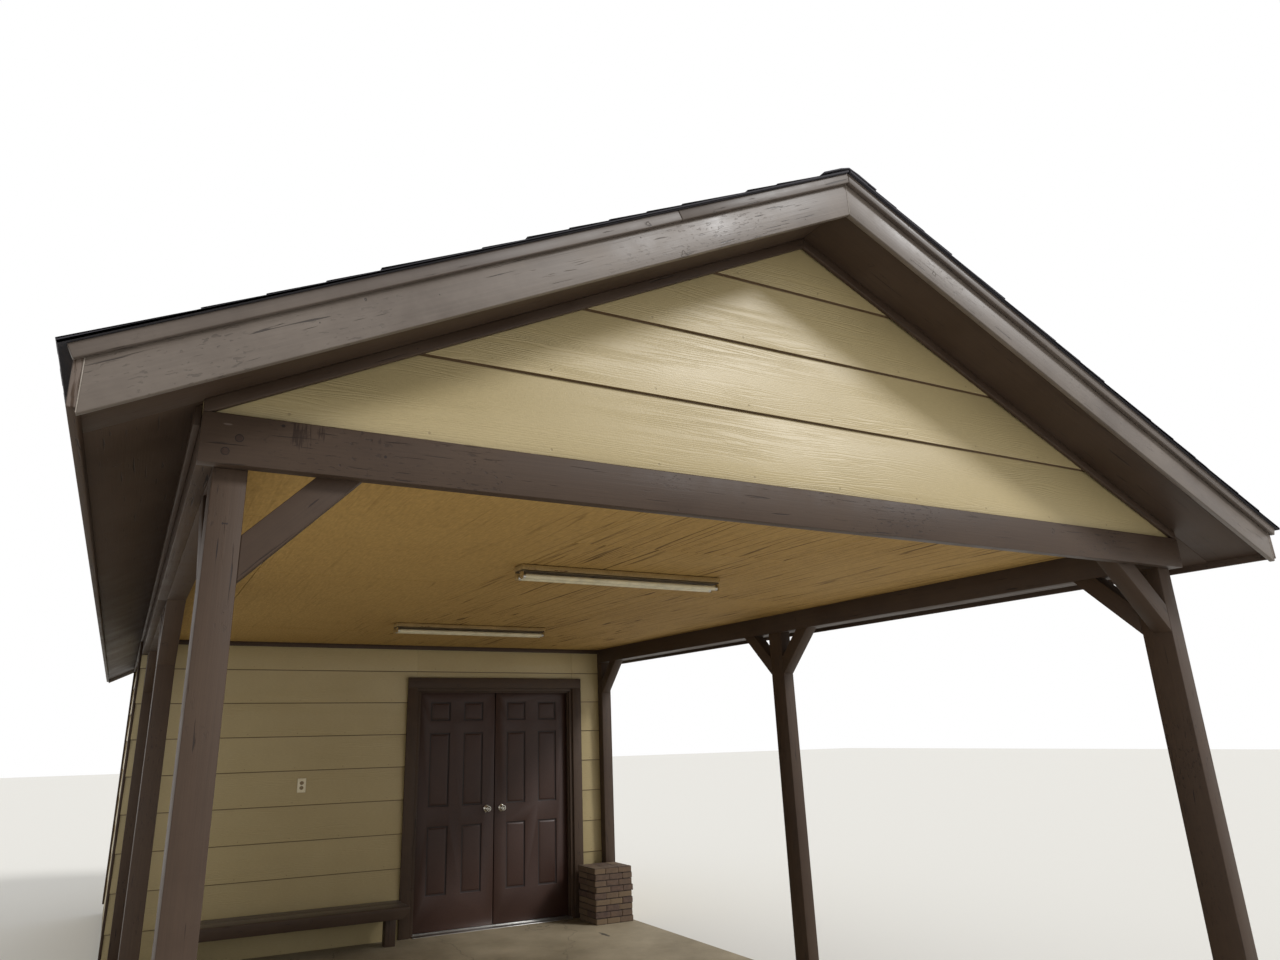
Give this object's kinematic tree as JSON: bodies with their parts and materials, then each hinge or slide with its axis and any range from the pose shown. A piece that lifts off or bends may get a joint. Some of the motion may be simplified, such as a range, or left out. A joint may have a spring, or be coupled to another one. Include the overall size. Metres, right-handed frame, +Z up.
{
  "type": "carport with storage room",
  "caption": "Gable-roofed timber carport, open at the front and sides, with braced posts, lap siding, a flat lit ceiling, a bench and a storage room behind a double door.",
  "frame": {"origin": "middle of the carport's length and width, at the underside of the floor slab", "axes": "+Z up, +Y from the open front to the storage room at the rear, +X to the right as seen from the front"},
  "size_m": [5.0402, 10.11, 3.8409],
  "materials": {
    "brown_paint": "satin dark brown paint on sawn timber",
    "brown_door_paint": "satin dark brown paint on pressed panels",
    "tan_siding": "flat tan paint on textured lap boards",
    "tan_ceiling": "flat tan paint on rough-sawn panels",
    "concrete": "broom-finished grey concrete",
    "bare_timber": "bare sawn softwood",
    "asphalt_shingle": "dark granule-coated laminated shingles",
    "threshold_metal": "mill finish",
    "satin_nickel": "satin",
    "lamp_housing": "cream enamel",
    "lamp_glass": "white glass tube, coated inside",
    "cream_plastic": "gloss cream",
    "brick": "rough dark red-brown clay brick, dry laid"
  },
  "bodies": {
    "carport": {"floor_slab": "concrete", "posts": "brown_paint", "beams": "brown_paint", "beam_boards": "brown_paint", "knee_braces": "brown_paint", "gable_front": "tan_siding", "gable_rear": "tan_siding", "room_front_left": "tan_siding", "room_front_right": "tan_siding", "room_front_head": "tan_siding", "room_rear_wall": "tan_siding", "room_side_walls": "tan_siding", "corner_boards": "brown_paint", "ceiling_joists": "bare_timber", "rafters": "bare_timber", "ridge_board": "bare_timber", "roof_deck": "bare_timber", "shingles": "asphalt_shingle", "ridge_cap": "asphalt_shingle", "eave_fascias": "brown_paint", "rake_boards": "brown_paint", "rake_moulds": "brown_paint", "rake_soffits": "brown_paint", "eave_soffits": "brown_paint", "rake_friezes": "brown_paint", "eave_friezes": "brown_paint", "ceiling": "tan_ceiling", "ceiling_trim": "brown_paint", "door_frame": "brown_paint", "door_stops": "brown_paint", "door_casing": "brown_paint", "threshold": "threshold_metal", "frame_hinges": "satin_nickel", "light_housings": "lamp_housing", "light_tubes": "lamp_glass", "outlet_plate": "cream_plastic", "bench_seat": "brown_paint", "bench_apron": "brown_paint", "bench_legs": "brown_paint", "brick_stack": "brick"},
    "left_door_leaf": {"door_left": "brown_door_paint", "door_left_hardware": "satin_nickel"},
    "right_door_leaf": {"door_right": "brown_door_paint", "door_right_hardware": "satin_nickel"}
  },
  "joints": [
    {"name": "left_door_hinge", "type": "hinge", "parent": "carport", "child": "left_door_leaf", "pos_m": [0.19, 1.2125, 1.133], "axis": [0, 0, 1], "range_deg": [0, 100]},
    {"name": "right_door_hinge", "type": "hinge", "parent": "carport", "child": "right_door_leaf", "pos_m": [1.724, 1.2125, 1.133], "axis": [0, 0, -1], "range_deg": [0, 100]}
  ]
}
